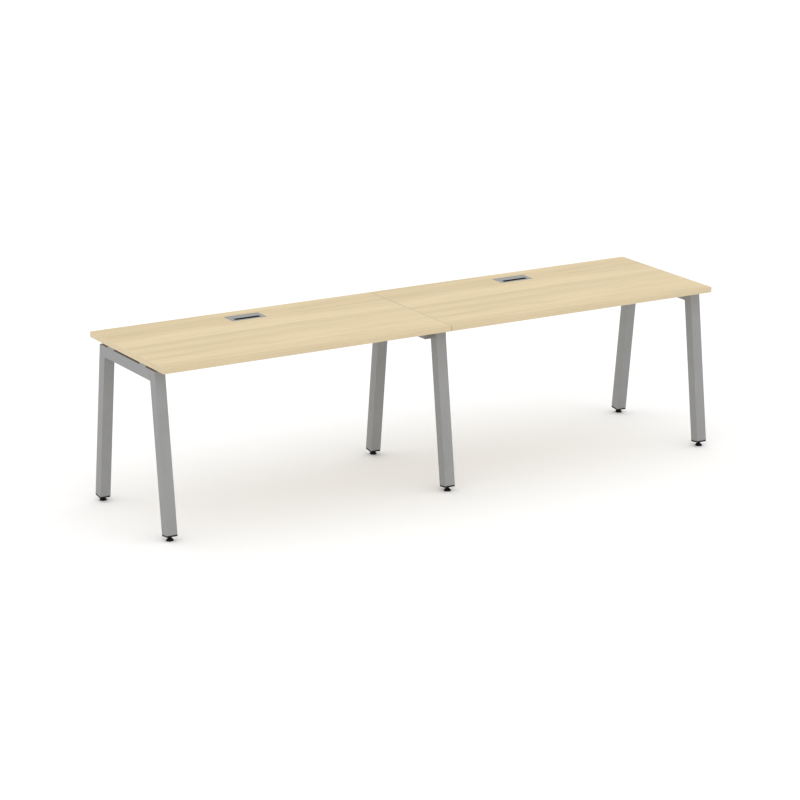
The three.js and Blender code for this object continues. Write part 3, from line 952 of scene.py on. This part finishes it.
class WORKSTATION_OT_stage(bpy.types.Operator):
    """Sets the pale floor, the soft light and the camera"""

    bl_idname = "workstation.stage"
    bl_label = "Stage"

    def execute(self, context):
        self.lay_floor(context.scene.workstation_colours)
        self.light_world(context.scene)
        self.hang_softbox()
        self.place_camera(context.scene)
        context.scene.view_settings.view_transform = "Standard"
        return {"FINISHED"}

    @staticmethod
    def lay_floor(colours):
        """A wide matt floor, bright enough where it is seen to be plain white outside the desk's shadow."""
        bm = bmesh.new()
        bmesh.ops.create_grid(bm, x_segments=1, y_segments=1, size=FLOOR_REACH)
        mesh = bpy.data.meshes.new("studio_floor")
        bm.to_mesh(mesh)
        bm.free()
        material, tree = start_material("matt_studio_floor")
        mottle = add(
            tree,
            "ShaderNodeTexNoise",
            {"Vector": object_place(tree), "Scale": 1 / FLOOR_MOTTLE_WIDTH, "Detail": 2.0},
        )
        mottled = graded(tree, mottle.outputs["Fac"], 0.3, 0.7)
        lit = blended(tree, mottled, shaded(colours.floor, 0.99), colours.floor)
        base = blended(tree, seen_rays(tree), lit, SEEN_FLOOR)
        matt = add(tree, "ShaderNodeBsdfDiffuse", {"Color": base})
        add(tree, "ShaderNodeOutputMaterial", {"Surface": matt.outputs[0]})
        mesh.materials.append(material)
        floor = bpy.data.objects.new("studio_floor", mesh)
        bpy.context.scene.collection.objects.link(floor)

    @staticmethod
    def light_world(scene):
        """Even white light from all round, as from a large tent."""
        world = bpy.data.worlds.new("pale_studio")
        world.use_nodes = True
        tree = world.node_tree
        tree.nodes.clear()
        backdrop = add(tree, "ShaderNodeBackground", {"Color": (1, 1, 1, 1), "Strength": 1.0})
        add(tree, "ShaderNodeOutputWorld", {"Surface": backdrop.outputs[0]})
        scene.world = world

    @staticmethod
    def hang_softbox():
        """A broad, weak lamp above the user's side, which lifts the front faces a little."""
        lamp = bpy.data.lights.new("front_softbox", "AREA")
        lamp.shape = "SQUARE"
        lamp.size = SOFTBOX_SIZE
        lamp.energy = SOFTBOX_WATTS
        holder = bpy.data.objects.new("front_softbox", lamp)
        holder.location = SOFTBOX_PLACE
        holder.rotation_euler = (math.radians(SOFTBOX_TILT_DEGREES), 0, 0)
        holder.visible_camera = False
        bpy.context.scene.collection.objects.link(holder)

    @staticmethod
    def place_camera(scene):
        """The photograph's view: 31 degrees to the left, 16 degrees up, from 14 m away with a long lens."""
        azimuth, elevation = math.radians(-30.669), math.radians(15.822)
        distance, focal_pixels, picture = 13.722, 3056.9, 800
        target = Vector((-0.05, 0.0, 0.3453))
        back = Vector((
            math.sin(azimuth) * math.cos(elevation),
            -math.cos(azimuth) * math.cos(elevation),
            math.sin(elevation),
        ))
        lens = bpy.data.cameras.new("photo_camera")
        lens.sensor_fit = "HORIZONTAL"
        lens.sensor_width = 36
        lens.lens = focal_pixels / picture * lens.sensor_width
        lens.clip_end = 200
        camera = bpy.data.objects.new("photo_camera", lens)
        camera.location = target + back * distance
        camera.rotation_euler = (-back).to_track_quat("-Z", "Y").to_euler()
        scene.collection.objects.link(camera)
        scene.camera = camera


class WORKSTATION_PT_pieces(bpy.types.Panel):
    """Lists the sizes, the colours and the pieces to make."""

    bl_label = "Workstation"
    bl_idname = "WORKSTATION_PT_pieces"
    bl_space_type = "VIEW_3D"
    bl_region_type = "UI"
    bl_category = "Workstation"

    def draw(self, context):
        for settings in (context.scene.workstation_sizes, context.scene.workstation_colours):
            box = self.layout.box()
            for name in settings.__annotations__:
                box.prop(settings, name)
        for operator in OPERATORS:
            self.layout.operator(operator.bl_idname)


OPERATORS = (
    WORKSTATION_OT_worktops,
    WORKSTATION_OT_leg_frames,
    WORKSTATION_OT_beams,
    WORKSTATION_OT_leg_caps,
    WORKSTATION_OT_levelling_feet,
    WORKSTATION_OT_cable_flaps,
    WORKSTATION_OT_stage,
)
CLASSES = (WorkstationColours, WorkstationSizes, *OPERATORS, WORKSTATION_PT_pieces)


def register():
    for each in CLASSES:
        bpy.utils.register_class(each)
    bpy.types.Scene.workstation_colours = bpy.props.PointerProperty(type=WorkstationColours)
    bpy.types.Scene.workstation_sizes = bpy.props.PointerProperty(type=WorkstationSizes)


def unregister():
    del bpy.types.Scene.workstation_sizes
    del bpy.types.Scene.workstation_colours
    for each in reversed(CLASSES):
        bpy.utils.unregister_class(each)


def main():
    """Makes every piece and the stage."""
    register()
    bpy.ops.workstation.worktops()
    bpy.ops.workstation.leg_frames()
    bpy.ops.workstation.beams()
    bpy.ops.workstation.leg_caps()
    bpy.ops.workstation.levelling_feet()
    bpy.ops.workstation.cable_flaps()
    bpy.ops.workstation.stage()


if __name__ == "__main__":
    main()
